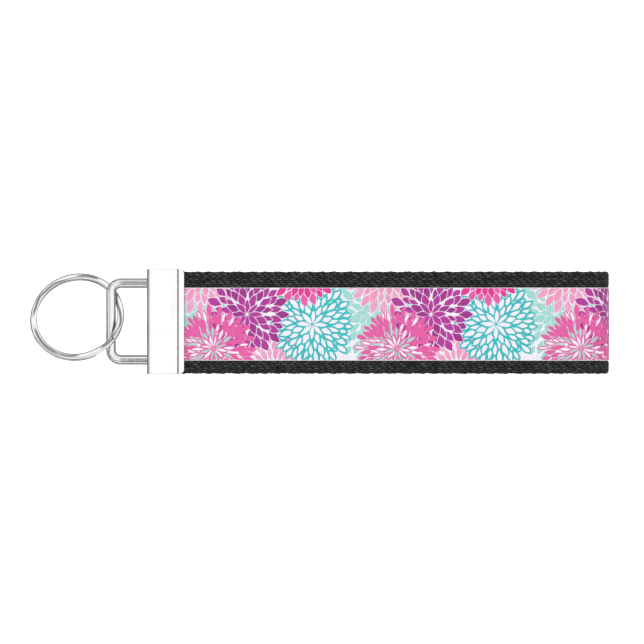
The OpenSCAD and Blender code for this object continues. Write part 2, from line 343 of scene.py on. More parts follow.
def stitches(name, s0, s1):
    """The stitches whose middles lie between s0 and s1, in both rows."""
    first = math.ceil(s0 / STITCH_PITCH - 0.5)
    middles = [(k + 0.5) * STITCH_PITCH for k in range(first, first + 200)]
    middles = [m for m in middles if s0 <= m < s1]
    sides = 10
    along = np.linspace(-1, 1, 13)
    around = np.linspace(0, 2 * math.pi, sides + 1)
    # One stitch: two plies twisted together, thinner where its ends go down through the ribbon
    to_end = along[:, None] ** 6
    turn = around[None, :-1]
    ply = (1 - 0.45 * to_end) * (1 + 0.1 * np.cos(2 * (turn - 5 * along[:, None])))
    aside = THREAD_HALF_W * np.cos(turn) * ply
    depth = THREAD_DIP * to_end - 0.02 - THREAD_HALF_T * np.sin(turn) * ply
    points, faces, corners = [], [], []
    for middle in middles:
        for row in STITCH_ROWS:
            s = middle + along * (STITCH_LEN / 2 - 0.05)
            start = sum(len(p) for p in points)
            points.append(place(np.repeat(s[:, None], sides, 1), row + aside, depth).reshape(-1, 3))
            faces += tube_faces(len(s), sides, start)
            corners.append(tube_corners(s - S_MOUTH, row + 0.05 * around / math.pi))
    return new_piece(name, np.concatenate(points), faces, np.concatenate(corners))


# ---------------------------------------------------------------- the split ring

RING_MID_R, WIRE_HALF_W, WIRE_HALF_T = 13.4, 1.0, 0.42
RING_ROLL, RING_PITCH_ANGLE, RING_HANG, RING_Y = 23.6, 7.2, 10.4, 1.37
COIL_OFF = 0.3  # how far the back turn stands out beyond the front one, opposite the bail
COIL_LIFT = 0.44  # from the ring's middle plane to either turn's
# In degrees: where the wire's ends are, how long it takes to cross, and its clearance there
RING_END, RING_CROSS, RING_GAP = -31.0, 27.0, 1.2
FREE_END, FREE_LIFT = 35, 0.05  # over how many degrees the wire's ends spring away, and how far
WIRE_SQUARE = 0.9  # below 1, the wire's flattened section has fuller corners


def turned(points, axis, angle):
    """Points turned about a frame axis, in degrees."""
    c, s = math.cos(math.radians(angle)), math.sin(math.radians(angle))
    a, b = [(1, 2), (2, 0), (0, 1)][axis]
    out = points.copy()
    out[..., a] = points[..., a] * c - points[..., b] * s
    out[..., b] = points[..., a] * s + points[..., b] * c
    return out


def split_ring():
    """Two turns of flattened wire in one length: it crosses from the back coil to the front one."""
    whole = 720 - RING_CROSS - 2 * RING_GAP
    phi = np.linspace(0, whole, 560)
    rise = np.clip((phi - (360 - RING_CROSS - RING_GAP)) / RING_CROSS, 0, 1)
    rise = rise * rise * (3 - 2 * rise)
    free = np.exp(-((phi / FREE_END) ** 2)) - np.exp(-(((whole - phi) / FREE_END) ** 2))
    lift = COIL_LIFT * (2 * rise - 1) - FREE_LIFT * free
    theta = np.radians(RING_END - RING_CROSS - 2 * RING_GAP - 1 - phi)
    spread = COIL_OFF * (1 - rise) * np.clip(-np.cos(theta), 0, 1) ** 2
    around = np.linspace(0, 2 * math.pi, 29)[:-1]
    c, s = np.cos(around), np.sin(around)
    flat_r = np.sign(c) * abs(c) ** WIRE_SQUARE * WIRE_HALF_W
    flat_h = np.sign(s) * abs(s) ** WIRE_SQUARE * WIRE_HALF_T
    close = np.minimum(phi, whole - phi)
    keep = np.sqrt(np.clip(1 - (1 - np.clip(close / 0.9, 0, 1)) ** 2, 0.3, 1))[:, None]
    r = RING_MID_R + spread[:, None] + flat_r[None] * keep
    x, y = r * np.cos(theta)[:, None], r * np.sin(theta)[:, None]
    points = np.stack([x, y, lift[:, None] + flat_h[None] * keep], -1)
    points = turned(points, 0, -RING_ROLL)
    points += np.array([-RING_HANG, RING_Y, 0])
    points = turned(points, 1, -RING_PITCH_ANGLE)
    points += np.array([bail_low.x + WIRE_R, 0, MID_Z])
    faces = tube_faces(len(phi), len(around))
    corners = tube_corners(np.radians(phi) * RING_MID_R, np.append(around, 2 * math.pi))
    points = points.reshape(-1, 3) * MM
    return new_piece("split_ring_coil", points, faces, corners, flat_ends(faces))


# ---------------------------------------------------------------- the clamp

CLAMP_HALF_W, PLATE_T, SPINE_R = 16.0, 0.9, 1.4
LIP_SET_IN = 0.45
PLATE_MID = LAYER_T + PLATE_T / 2
LIP_MID = PLATE_MID - LIP_SET_IN
CLAMP_LEN = MOUTH_X - SPINE_X
LIP_AT = CLAMP_LEN - 2.1  # where the plate steps in to the lip, from the spine
LIP_SLOPE, LIP_CORNER_R, EDGE_R, CAMBER = 0.48, 1.4, 0.2, 0.02
LEG_Y, HOLE_R = 11.7, WIRE_R + 0.07
END_SIDES = 7  # points round a lip's edge


def clamp_outline():
    """Middle line of the folded sheet seen along Y, from the front lip's tip to the back lip's."""
    bend_r = SPINE_R - PLATE_T / 2
    x = np.concatenate([
        np.linspace(CLAMP_LEN - PLATE_T / 2, LIP_AT + 0.7, 5),
        np.linspace(LIP_AT + 0.6, LIP_AT - 0.6, 17),
        np.linspace(LIP_AT - 0.8, SPINE_R + 0.2, 12),
    ])
    z = LIP_MID + (PLATE_MID - LIP_MID) / (1 + np.exp((x - LIP_AT) / (LIP_SLOPE / 4)))
    z += CAMBER * np.sin(math.pi * np.clip((x - SPINE_R) / (LIP_AT - 1 - SPINE_R), 0, 1))
    turn = np.linspace(0, math.pi / 2, 11)
    x = np.concatenate([x, SPINE_R - bend_r * np.sin(turn)])
    z = np.concatenate([z, PLATE_MID - bend_r * (1 - np.cos(turn))])
    down = np.linspace(z[-1], 0, 8)[1:]
    x, z = np.append(x, np.full(7, PLATE_T / 2)), np.append(z, down)
    return np.append(x, x[-2::-1]), np.append(z, -z[-2::-1])


def clamp_piece():
    """The sheet steel clamp, with rounded edges, set-in lips and two holes for the bail."""
    x, z = clamp_outline()
    tx, tz = np.gradient(x), np.gradient(z)
    length = np.hypot(tx, tz)
    tx, tz = tx / length, tz / length
    half = PLATE_T / 2
    end = np.linspace(0, math.pi, END_SIDES + 2)[1:-1]

    def round_the_sheet(middle, normal, tangent):
        """One axis of the section: out along one face, round a lip's edge, back and round."""
        tip = half * (normal[-1] * np.cos(end) + tangent[-1] * np.sin(end))
        root = half * (normal[0] * np.cos(end) + tangent[0] * np.sin(end))
        back = (middle - normal * half)[::-1]
        outer = np.concatenate([middle + normal * half, middle[-1] + tip, back, middle[0] - root])
        ends = [middle[-1]] * END_SIDES, [middle[0]] * END_SIDES
        return outer, np.concatenate([middle, ends[0], middle[::-1], ends[1]])

    around_x, middle_x = round_the_sheet(x, -tz, tx)
    around_z, middle_z = round_the_sheet(z, tx, tz)
    turn = np.linspace(0, math.pi / 2, 6)
    near = CLAMP_HALF_W - EDGE_R * (1 - np.sin(turn))
    thick = 1 - EDGE_R / half * (1 - np.cos(turn))
    body = np.linspace(-CLAMP_HALF_W + EDGE_R, CLAMP_HALF_W - EDGE_R, 90)[1:-1]
    ys = np.concatenate([-near[::-1], body, near])
    scale = np.concatenate([thick[::-1], np.ones(len(body)), thick])[:, None]
    xs = middle_x + (around_x - middle_x) * scale
    zs = middle_z + (around_z - middle_z) * scale
    into = np.clip(abs(ys) - CLAMP_HALF_W + LIP_CORNER_R, 0, LIP_CORNER_R)
    trim = LIP_CORNER_R - np.sqrt(LIP_CORNER_R**2 - into**2)
    from_x = CLAMP_LEN - 2 * LIP_CORNER_R
    share = np.clip((xs - from_x) / (CLAMP_LEN - from_x), 0, 1)
    xs = xs - share**2 * trim[:, None]
    points = np.stack([xs + SPINE_X, ys[:, None] + 0 * xs, zs + MID_Z], -1)
    sides = len(middle_x)
    girth = np.append(0, np.cumsum(np.hypot(np.diff(around_x), np.diff(around_z))))
    piece = new_piece(
        "clamp_sheet", points.reshape(-1, 3) * MM, tube_faces(len(ys), sides),
        tube_corners(ys, np.append(girth, girth[-1] + 0.2)),
    )
    angles = np.linspace(0, 2 * math.pi, 48, endpoint=False)
    for side in (-1, 1):
        ends = [
            [(SPINE_X + x_end, side * LEG_Y + HOLE_R * math.cos(a), MID_Z + HOLE_R * math.sin(a))
             for a in angles] for x_end in (-1, 2)
        ]
        drill = new_piece("drill", np.array(ends).reshape(-1, 3) * MM, tube_faces(2, 48))
        cut = piece.modifiers.new("hole", "BOOLEAN")
        cut.object, cut.solver = drill, "EXACT"
        as_drilled = piece.evaluated_get(bpy.context.evaluated_depsgraph_get())
        drilled = bpy.data.meshes.new_from_object(as_drilled)
        piece.modifiers.clear()
        piece.data = drilled
        bpy.data.objects.remove(drill)
    piece.data.set_sharp_from_angle(angle=math.radians(50))
    return piece


# ---------------------------------------------------------------- materials


class Graph:
    """A short way to write shader nodes: numbers and sockets go in, sockets come out."""

    def __init__(self, tree):
        self.tree = tree

    def node(self, kind, out=0, settings=(), **inputs):
        made = self.tree.nodes.new("ShaderNode" + kind)
        for key, value in dict(settings).items():
            setattr(made, key, value)
        for key, value in inputs.items():
            number = int(key[1:]) if key[0] == "i" and key[1:].isdigit() else key.replace("_", " ")
            self.put(made.inputs[number], value)
        return made.outputs[out]

    def put(self, socket, value):
        if isinstance(value, bpy.types.NodeSocket):
            self.tree.links.new(value, socket)
        else:
            socket.default_value = value

    def math(self, kind, *values):
        inputs = {f"i{k}": v for k, v in enumerate(values)}
        return self.node("Math", settings={"operation": kind}, **inputs)

    def ramp(self, value, low, high, to_low=0.0, to_high=1.0):
        """Goes smoothly from to_low to to_high while the value goes from low to high."""
        kind = {"interpolation_type": "SMOOTHSTEP"}
        return self.node(
            "MapRange", settings=kind, i0=value, i1=low, i2=high, i3=to_low, i4=to_high
        )

    def mix(self, share, a, b):
        made = self.tree.nodes.new("ShaderNodeMix")
        made.data_type = "RGBA"
        self.put(made.inputs[0], share)
        self.put(made.inputs[6], a)
        self.put(made.inputs[7], b)
        return made.outputs[2]

    def uv(self):
        """The two values of the UV map strap."""
        return self.split(self.node("UVMap", settings={"uv_map": "strap"}))[:2]

    def vector(self, x, y, z=0.0):
        return self.node("CombineXYZ", i0=x, i1=y, i2=z)

    def noise(self, vector, scale, detail=2.0, rough=0.5, out=0):
        return self.node(
            "TexNoise", out, Vector=vector, Scale=scale, Detail=detail, Roughness=rough
        )

    def stretched_noise(self, u, scale_u, v, scale_v, detail=3.0):
        """Noise whose grains are drawn out along u or v."""
        at = self.vector(self.math("MULTIPLY", u, scale_u), self.math("MULTIPLY", v, scale_v))
        return self.noise(at, 1.0, detail)

    def away(self, value, middle):
        """How far a value is from the middle."""
        return self.math("ABSOLUTE", self.math("SUBTRACT", value, middle))

    def scaled(self, colour, share):
        settings = {"operation": "SCALE"}
        return self.node("VectorMath", settings=settings, i0=colour, i3=share)

    def split(self, vector):
        made = self.tree.nodes.new("ShaderNodeSeparateXYZ")
        self.tree.links.new(vector, made.inputs[0])
        return made.outputs

    def bump(self, height, distance, strength=1.0, normal=None):
        made = self.tree.nodes.new("ShaderNodeBump")
        self.put(made.inputs["Height"], height)
        made.inputs["Distance"].default_value = distance
        made.inputs["Strength"].default_value = strength
        if normal is not None:
            self.tree.links.new(normal, made.inputs["Normal"])
        return made.outputs[0]


LIGHT = 1.2  # how bright a white surface facing up is lit


def paint(red, green, blue):
    """The base colour that shows as this 8-bit colour in the scene's light."""

    def straight(c):
        c /= 255
        return (c / 12.92 if c < 0.04045 else ((c + 0.055) / 1.055) ** 2.4) / LIGHT

    return (straight(red), straight(green), straight(blue), 1.0)


def new_material(name):
    """A node material, its graph and its shader."""
    material = bpy.data.materials.new(name)
    material.use_nodes = True
    shader = material.node_tree.nodes["Principled BSDF"]
    return material, Graph(material.node_tree), shader


PETAL_EDGE = 0.05  # half the width over which a petal's edge fades


def petal_ring():
    """A node group that paints one ring of pointed petals, with a rim, over the colour below."""
    group = bpy.data.node_groups.new("petal_ring", "ShaderNodeTree")
    names = "Below Radius Turn Count Phase Inner Outer Width Rim RimColor Fill Other Share".split()
    for name in names:
        kind = "Color" if name in ("Below", "RimColor", "Fill", "Other") else "Float"
        group.interface.new_socket(name, in_out="INPUT", socket_type="NodeSocket" + kind)
    group.interface.new_socket("Color", in_out="OUTPUT", socket_type="NodeSocketColor")
    given = group.nodes.new("NodeGroupInput").outputs
    g = Graph(group)
    at = g.math("MULTIPLY_ADD", given["Turn"], given["Count"], given["Phase"])
    petal = g.math("FLOOR", at)
    aside = g.math("SUBTRACT", g.math("SUBTRACT", at, petal), 0.5)
    angle = g.math("DIVIDE", g.math("MULTIPLY", aside, 2 * math.pi), given["Count"])
    lateral = g.math("ABSOLUTE", g.math("MULTIPLY", given["Radius"], g.math("SINE", angle)))
    which = g.math("ADD", g.math("FLOORED_MODULO", petal, given["Count"]), given["Outer"])
    chance = g.node("TexWhiteNoise", settings={"noise_dimensions": "1D"}, W=which)
    outer = g.math("MULTIPLY", given["Outer"], g.math("MULTIPLY_ADD", chance, 0.12, 0.94))
    t = g.math(
        "DIVIDE",
        g.math("SUBTRACT", given["Radius"], given["Inner"]),
        g.math("SUBTRACT", outer, given["Inner"]),
    )
    t = g.math("MULTIPLY", g.node("Clamp", i0=t, i1=0.0, i2=1.0), math.pi)
    swell = g.math("SINE", g.math("MULTIPLY_ADD", g.math("SINE", t), -0.12, t))
    wide = g.math("MULTIPLY", given["Width"], g.math("MULTIPLY_ADD", chance, 0.3, 0.85))
    past = g.math(
        "MAXIMUM",
        g.math("SUBTRACT", given["Radius"], outer),
        g.math("SUBTRACT", given["Inner"], given["Radius"]),
    )
    past = g.math("MAXIMUM", past, 0.0)
    inside = g.math("SUBTRACT", g.math("MULTIPLY", wide, swell), g.math("ADD", lateral, past))
    rim = g.ramp(g.math("ADD", inside, given["Rim"]), -PETAL_EDGE, PETAL_EDGE)
    fill = g.ramp(inside, -PETAL_EDGE, PETAL_EDGE)
    other = g.math("LESS_THAN", g.math("FRACT", g.math("MULTIPLY", chance, 7.0)), given["Share"])
    colour = g.mix(other, given["Fill"], given["Other"])
    painted = g.mix(fill, g.mix(rim, given["Below"], given["RimColor"]), colour)
    out = group.nodes.new("NodeGroupOutput")
    group.links.new(painted, out.inputs[0])
    return group


WHITE, MINT, TEAL = paint(236, 232, 242), paint(156, 210, 202), paint(30, 180, 184)
PINK, HOT_PINK, MAGENTA = paint(230, 158, 192), paint(222, 84, 158), paint(222, 28, 142)
SALMON, PURPLE, PLUM = paint(234, 146, 184), paint(172, 40, 148), paint(154, 30, 134)
PRINT_REPEAT = 56.0
PRINT_WOBBLE = 0.7
FLOWER_TURN = 0.013  # how far a flower is turned for each mm along the strap, in whole turns
# A petal's colour, its other colour, and the share of petals that take the other
MINTS, PINKS, SALMONS = (MINT, WHITE, 0), (PINK, SALMON, 0.4), (SALMON, PINK, 0.3)
MAGENTAS, BLANKS, PURPLES = (MAGENTA, HOT_PINK, 0.2), (WHITE, WHITE, 0), (PURPLE, PLUM, 0.3)
OPENINGS, FEW_OPENINGS = (WHITE, MINT, 0.45), (HOT_PINK, WHITE, 0.3)
# Each flower: its middle along and across the strap, rim width and colour, and its rings of petals
# from the outermost in, each with count, phase, inner and outer radius, half width and colours
FLOWERS = (
    ((1.0, 2.4), 0.16, WHITE, (
        (20, 0.0, 11.4, 15.6, 1.0, *MINTS), (20, 0.5, 8.6, 13.2, 1.1, *MINTS),
        (16, 0.0, 6.6, 11.0, 1.1, *MINTS), (16, 0.5, 4.4, 8.8, 0.96, *MINTS),
        (8, 0.0, 2.0, 6.8, 1.1, *MINTS), (8, 0.5, 0.4, 4.8, 0.9, *MINTS))),
    ((6.0, 15.6), 0.16, WHITE, (
        (24, 0.0, 9.0, 13.4, 1.0, *PINKS), (24, 0.5, 6.2, 10.8, 0.94, *PINKS),
        (16, 0.0, 3.6, 8.0, 0.94, *PINKS))),
    ((27.0, -15.4), 0.16, WHITE, (
        (22, 0.0, 8.6, 12.8, 1.0, *SALMONS), (22, 0.5, 6.2, 10.6, 0.92, *SALMONS),
        (20, 0.0, 3.6, 8.4, 0.8, *SALMONS))),
    ((39.2, -0.9), 0.6, TEAL, (
        (20, 0.5, 9.6, 12.6, 0.56, *BLANKS), (20, 0.0, 7.8, 11.4, 0.6, *BLANKS),
        (16, 0.5, 5.9, 9.8, 0.66, *BLANKS), (16, 0.0, 4.0, 8.0, 0.56, *BLANKS),
        (8, 0.0, 1.8, 6.3, 0.76, *BLANKS), (8, 0.5, 0.3, 4.6, 0.6, *BLANKS))),
    ((36.4, 16.4), 0.16, WHITE, (
        (24, 0.0, 7.4, 11.4, 0.94, *MAGENTAS), (24, 0.5, 5.0, 9.0, 0.84, *MAGENTAS))),
    ((19.3, 2.2), 0.17, WHITE, (
        (18, 0.0, 8.4, 12.4, 1.04, *PURPLES), (18, 0.5, 6.2, 10.6, 1.02, *PURPLES),
        (16, 0.0, 4.2, 8.4, 0.9, *PURPLES), (8, 0.0, 1.8, 6.5, 1.0, *PURPLES),
        (8, 0.5, 0.3, 4.7, 0.76, *PURPLES))),
    ((9.0, -8.2), 0.36, HOT_PINK, (
        (22, 0.0, 9.8, 12.6, 0.34, *FEW_OPENINGS), (22, 0.5, 8.0, 11.2, 0.4, *FEW_OPENINGS),
        (22, 0.0, 6.4, 9.6, 0.34, *FEW_OPENINGS), (18, 0.5, 4.8, 7.9, 0.36, *FEW_OPENINGS),
        (12, 0.0, 3.0, 6.4, 0.4, *OPENINGS), (12, 0.5, 0.6, 4.2, 0.34, *OPENINGS))),
)


def print_colour(g, u, v, petals):
    """The floral print at u along and v across the strap."""
    shift = g.split(g.noise(g.vector(u, v), 0.55, 1.0, out=1))
    u = g.math("MULTIPLY_ADD", shift[0], PRINT_WOBBLE, u)
    v = g.math("MULTIPLY_ADD", shift[1], PRINT_WOBBLE, v)
    colour = WHITE
    for (mid_u, mid_v), rim, rim_colour, rings in FLOWERS:
        near = g.math("SUBTRACT", u, mid_u + PRINT_WOBBLE / 2)
        near = g.math("WRAP", near, PRINT_REPEAT / 2, -PRINT_REPEAT / 2)
        across = g.math("SUBTRACT", v, mid_v + PRINT_WOBBLE / 2)
        square = g.math("MULTIPLY", across, across)
        radius = g.math("SQRT", g.math("MULTIPLY_ADD", near, near, square))
        turn = g.math("DIVIDE", g.math("ARCTAN2", across, near), 2 * math.pi)
        turn = g.math("ADD", turn, FLOWER_TURN * mid_u)
        for count, phase, inner, outer, width, *colours in rings:
            made = g.tree.nodes.new("ShaderNodeGroup")
            made.node_tree = petals
            values = (colour, radius, turn, count, phase, inner, outer, width, rim, rim_colour)
            for socket, value in zip(made.inputs, (*values, *colours)):
                g.put(socket, value)
            colour = made.outputs[0]
    return colour


def ribbon_material(petals):
    """Printed grosgrain: ribs of fine thread with a little gloss, edged with white loops."""
    material, g, shader = new_material("printed_grosgrain")
    u, v = g.uv()
    colour = print_colour(g, u, v, petals)
    edge = g.math("MINIMUM", g.math("SUBTRACT", v, RIB_LOW), g.math("SUBTRACT", RIB_HIGH, v))
    tooth = g.math("ABSOLUTE", g.math("SINE", g.math("MULTIPLY", u, math.pi / PICOT_PITCH)))
    bare = g.ramp(g.math("MULTIPLY_ADD", tooth, -0.16, edge), 0.02, 0.1, 1.0, 0.0)
    colour = g.mix(g.math("MULTIPLY", bare, 0.8), colour, WHITE)
    # Painted shade, a little darker in the valleys between the ribs, with faintly uneven ink
    rib = g.math("ABSOLUTE", g.math("SINE", g.math("MULTIPLY", u, math.pi / RIB_PITCH)))
    ink = g.stretched_noise(u, 2.2, v, 0.35)
    shade = g.math("MULTIPLY", g.ramp(rib, 0, 0.6, 0.76, 1.03), g.ramp(ink, 0.2, 0.8, 0.93, 1.04))
    g.put(shader.inputs["Base Color"], g.scaled(colour, shade))
    thread = g.stretched_noise(u, 9.0, v, 2.4)
    g.put(shader.inputs["Normal"], g.bump(thread, 0.00006))
    g.put(shader.inputs["Roughness"], g.ramp(thread, 0.3, 0.7, 0.5, 0.68))
    shader.inputs["Sheen Weight"].default_value = 0.12
    shader.inputs["Sheen Roughness"].default_value = 0.4
    shader.inputs["Specular IOR Level"].default_value = 0.35
    return material


CHARCOAL = (0.0235, 0.024, 0.024)


def webbing_material():
    """Charcoal nylon: each length of yarn has its own tone and fine fibres along it, with painted
    shade at its ends and sides and a painted highlight along its crown.
    """
    material, g, shader = new_material("charcoal_webbing")
    u, v = g.uv()
    s = g.math("ADD", u, S_MOUTH)

    def sine(rate, shift, swing):
        return g.math("MULTIPLY", g.math("SINE", g.math("MULTIPLY_ADD", s, rate, shift)), swing)

    # The same rows and lengths of yarn as in weave()
    slow = sine(SLOW_RATE, sine(SLOW_BEND_RATE, 0.0, SLOW_BEND), SLOW_SWING)
    drift = g.math("ADD", slow, sine(QUICK_RATE, QUICK_SHIFT, QUICK_SWING))
    place_in_rows = g.math("ADD", g.math("DIVIDE", v, ROW_PITCH), drift)
    row = g.math("FLOOR", place_in_rows)
    along = g.math("MULTIPLY_ADD", row, STAGGER, g.math("DIVIDE", s, FLOAT_LEN))
    shift = g.math("SINE", g.math("MULTIPLY", row, ROW_SHIFT_RATE))
    along = g.math("MULTIPLY_ADD", shift, ROW_SHIFT, along)
    number = g.vector(row, g.math("FLOOR", along))
    yarn = g.node("TexWhiteNoise", settings={"noise_dimensions": "2D"}, Vector=number)
    swell = g.math("SINE", g.math("MULTIPLY", g.math("FRACT", along), math.pi))
    across = g.away(g.math("FRACT", place_in_rows), 0.5)
    fibre = g.stretched_noise(u, 0.9, v, 14.0)
    blotch = g.stretched_noise(u, 0.4, v, 0.9)
    light = g.math("MULTIPLY_ADD", yarn, 0.9, g.ramp(fibre, 0.25, 0.75, 0.3, 0.9))
    # Painted shade towards each yarn's ends and sides, and a painted highlight along its crown
    light = g.math("MULTIPLY", light, g.ramp(swell, 0.0, 0.8, 0.12, 1.2))
    light = g.math("MULTIPLY", light, g.ramp(across, 0.2, 0.5, 1.2, 0.12))
    light = g.math("MULTIPLY", light, g.ramp(blotch, 0.3, 0.7, 0.65, 1.35))
    g.put(shader.inputs["Base Color"], g.scaled(CHARCOAL, light))
    g.put(shader.inputs["Normal"], g.bump(fibre, 0.00005))
    g.put(shader.inputs["Roughness"], g.ramp(fibre, 0.3, 0.7, 0.5, 0.7))
    shader.inputs["Specular IOR Level"].default_value = 0.1
    shader.inputs["Sheen Weight"].default_value = 0.02
    return material


def thread_material(petals):
    """Clear nylon thread, which takes on the print that it lies on."""
    material, g, shader = new_material("clear_thread")
    u, v = g.uv()
    twist = g.stretched_noise(u, 3.0, v, 9.0, 2.0)
    colour = g.mix(g.ramp(twist, 0.3, 0.7, 0.02, 0.1), print_colour(g, u, v, petals), WHITE)
    g.put(shader.inputs["Base Color"], colour)
    g.put(shader.inputs["Normal"], g.bump(twist, 0.00005))
    g.put(shader.inputs["Roughness"], g.ramp(twist, 0.3, 0.7, 0.25, 0.4))
    return material


def metal_material(name, base, rough, scratch, painted_darkening):
    """Bright plated steel: fine scratches, uneven polish, and painted dark reflections and shade
    where painted_darkening(g, where) says.
    """
    material, g, shader = new_material(name)
    where = g.node("TexCoord", 3)
    fine = g.noise(g.node("Mapping", i0=where, i3=(300, 2600, 900)), 1.0, 3.0, 0.6)
    broad = g.noise(where, 220.0, 2.0)
    colour = g.mix(g.ramp(broad, 0.3, 0.7), base, [c * 0.95 for c in base])
    # Painted dark reflections and shade, mixed into the base colour
    colour = g.mix(painted_darkening(g, where), colour, [c * 0.25 for c in base])
    g.put(shader.inputs["Base Color"], colour)
    shader.inputs["Metallic"].default_value = 1.0
    g.put(shader.inputs["Roughness"], g.ramp(fine, 0.3, 0.75, rough, rough + scratch))
    g.put(shader.inputs["Normal"], g.bump(fine, 0.000008, 0.5, g.bump(broad, 0.00004, 0.5)))
    return material


def ring_painted_reflections(g, _where):
    """Painted dark reflections along the ring's wire: on its inner and outer edges, and one that
    wanders.
    """
    along, around = g.uv()

    def slow(shift, low, high):
        """Comes and goes along the wire, in its own way for each shift."""
        at = g.vector(g.math("MULTIPLY_ADD", along, 0.075, shift), shift)
        return g.ramp(g.noise(at, 1.0, 1.0), low, high)

    inner = g.ramp(g.away(around, math.pi), 0.45, 0.8, 1, 0)
    inner = g.math("MULTIPLY", inner, g.math("MULTIPLY_ADD", slow(3.0, 0.35, 0.6), 0.5, 0.45))
    outer = g.ramp(g.away(around, 0.3), 0.2, 0.45, 1, 0)
    outer = g.math("MULTIPLY", outer, slow(7.0, 0.4, 0.65))
    middle = g.math("MULTIPLY_ADD", slow(11.0, 0.3, 0.7), 1.5, 0.85)
    wander = g.ramp(g.away(around, middle), 0.2, 0.5, 1, 0)
    wander = g.math("MULTIPLY", wander, slow(17.0, 0.42, 0.52))
    return g.math("MAXIMUM", g.math("MAXIMUM", inner, outer), wander)


def bail_painted_reflections(g, where):
    """Painted dark reflections: streaks along the top of the bail's legs and crossbar."""
    x, y, z = (g.math("DIVIDE", part, MM) for part in g.split(where))
    patchy = g.stretched_noise(x, 0.5, y, 4.0, 4.0)
    on_leg = g.ramp(g.away(g.math("ABSOLUTE", y), LEG_Y + 0.1), 0.3, 0.8, 1, 0)
    on_leg = g.math("MULTIPLY", on_leg, g.ramp(patchy, 0.35, 0.6, 0.6, 1))
    on_bar = g.ramp(g.away(x, bail_low.x + WIRE_R - 0.35), 0.1, 0.4, 0.35, 0)
    past_bend = g.ramp(x, bail_low.x + 3.5, bail_low.x + 5.5)
    streak = g.math("MAXIMUM", g.math("MULTIPLY", on_leg, past_bend), on_bar)
    return g.math("MULTIPLY", streak, g.ramp(z, MID_Z, MID_Z + 0.5, 0, 0.9))


def plate_streaks_and_painted_shade(g, where):
    """Faint darker streaks across the plates, a painted dark reflection on the bends along the
    spine, and painted shade in the crease beside the lips.
    """
    stretched = g.node("Mapping", i0=where, i3=(330, 40, 60))
    streak = g.ramp(g.noise(stretched, 1.0, 2.0), 0.55, 0.75, 0.0, 0.12)
    x, y = (g.math("DIVIDE", part, MM) for part in g.split(where)[:2])
    patchy = g.noise(g.vector(0.0, g.math("MULTIPLY", y, 0.8)), 1.0, 3.0)
    # Painted shade in the crease where the plate steps in to the lips
    crease = g.ramp(g.away(x, SPINE_X + LIP_AT + 0.05), 0.1, 0.3, 1, 0)
    crease = g.math("MULTIPLY", crease, g.ramp(patchy, 0.3, 0.6, 0.75, 1.0))
    # Painted dark reflection on the bends along the spine
    bend = g.ramp(x, SPINE_X + 0.5, SPINE_X + 1.25, 0.5, 0.0)
    return g.math("MAXIMUM", g.math("MAXIMUM", streak, bend), crease)


# ---------------------------------------------------------------- build the strap

petals = petal_ring()
looks = {
    "webbing": webbing_material(),
    "ribbon": ribbon_material(petals),
    "thread": thread_material(petals),
}
near_cut, far_cut = (MOUTH_HINGE_X + MIDDLE_X) / 2, (MIDDLE_X + FOLD_X) / 2
MOUTH_BEND = (MOUTH_X, MOUTH_X + 9)
MIDDLE_BEND = (MIDDLE_X - 24, MIDDLE_X + 24)
FOLD_BEND = (FOLD_X - 10, FOLD_X + 6)
# name, s from and to, bodies, the bend's x from and to, CAD nodes that it stands for, round end
LENGTHS = (
    ("front_root", 0.0, front_s(near_cut),
     ("clamp", "strap_front_near"), MOUTH_BEND, "front_near", 0),
    ("front_middle", front_s(near_cut), front_s(far_cut),
     ("strap_front_near", "strap_front_far"), MIDDLE_BEND, "front_far", 0),
    ("front_tip", front_s(far_cut), S_TIP,
     ("strap_front_far", "strap_fold"), FOLD_BEND, "fold", 0),
    ("back_tip", S_TIP, back_s(far_cut),
     ("strap_fold", "strap_back_far"), FOLD_BEND[::-1], "back_far", 0),
    ("back_middle", back_s(far_cut), back_s(MOUTH_HINGE_X - LAYER_T / 2),
     ("strap_back_far", "strap_back_near"), MIDDLE_BEND[::-1], "back_near", 1),
    ("back_root", back_s(MOUTH_HINGE_X + LAYER_T / 2), S_END,
     ("clamp",), None, "ends", -1),
)
SEWN = (S_MOUTH + 1.5, S_END - S_MOUTH - 3)  # s of the rows of stitches' ends
WEB_STEP, RIB_STEP = 0.3, 0.09  # from one section to the next along the strap
web_section, rib_section = webbing_section(), ribbon_section()
for name, s0, s1, bodies, bend, nodes, round_end in LENGTHS:
    made = {
        "webbing": band("webbing_" + name, web_section, webbing_shape, s0, s1, WEB_STEP, round_end),
        "ribbon": band("ribbon_" + name, rib_section, ribbon_shape, s0, s1, RIB_STEP, round_end),
    }
    if nodes != "ends":
        made["thread"] = stitches("stitching_" + name, max(s0, SEWN[0]), min(s1, SEWN[1]))
    for kind, piece in made.items():
        piece.data.materials.append(looks[kind])
        stem = "stitching" if kind == "thread" else kind
        if bend:
            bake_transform(piece)
        else:
            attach(piece, bodies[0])
        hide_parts(f"{stem}_{nodes}")

# ---------------------------------------------------------------- metal parts

ring = split_ring()
ring_steel = metal_material(
    "ring_steel", (0.8, 0.8, 0.805, 1), rough=0.07, scratch=0.09, painted_darkening=ring_painted_reflections
)
ring.data.materials.append(ring_steel)
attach(ring, "key_ring")
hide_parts("split_ring")

clamp = clamp_piece()
clamp_steel = metal_material(
    "clamp_steel", (0.87, 0.87, 0.87, 1), rough=0.1, scratch=0.08, painted_darkening=plate_streaks_and_painted_shade
)
clamp.data.materials.append(clamp_steel)
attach(clamp, "clamp")
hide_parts("clamp_body")

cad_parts["bail"].data.materials[0] = metal_material(
    "bail_steel", (0.78, 0.78, 0.785, 1), rough=0.12, scratch=0.1, painted_darkening=bail_painted_reflections
)

# ---------------------------------------------------------------- floor, light and camera

